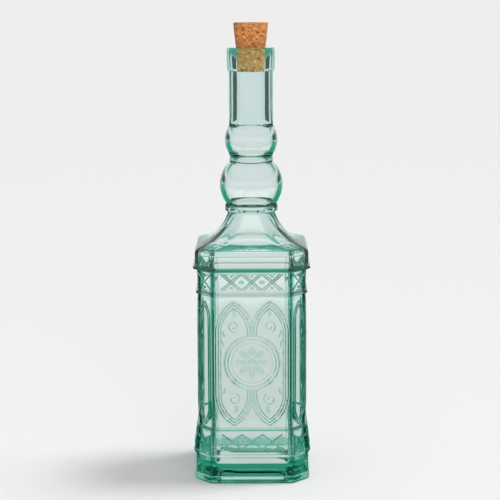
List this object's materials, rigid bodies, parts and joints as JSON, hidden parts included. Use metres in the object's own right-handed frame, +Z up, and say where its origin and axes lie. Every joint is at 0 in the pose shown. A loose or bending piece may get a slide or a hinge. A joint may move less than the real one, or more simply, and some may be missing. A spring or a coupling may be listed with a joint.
{
  "type": "corked glass bottle",
  "caption": "Tall square green glass bottle with cut corners, embossed panels, a turned neck with bulbs and a barrel lip, closed by a tapered cork that pulls out.",
  "frame": {"origin": "centre of the base, on the surface that the bottle stands on", "axes": "+Z up along the bottle's axis, -Y out of the front panel, +X to the right of it"},
  "size_m": [0.076, 0.076, 0.2951],
  "materials": {
    "green_glass": "pressed recycled glass with a pale green tint, darker where it is thick",
    "cork": "agglomerated cork, fine granules with dark flecks"
  },
  "bodies": {
    "bottle": {"glass_bottle": "green_glass"},
    "cork": {"cork_stopper": "cork"}
  },
  "joints": [
    {"name": "cork_pull", "type": "slide", "parent": "bottle", "child": "cork", "axis": [0, 0, 1], "range_m": [0, 0.04]}
  ]
}
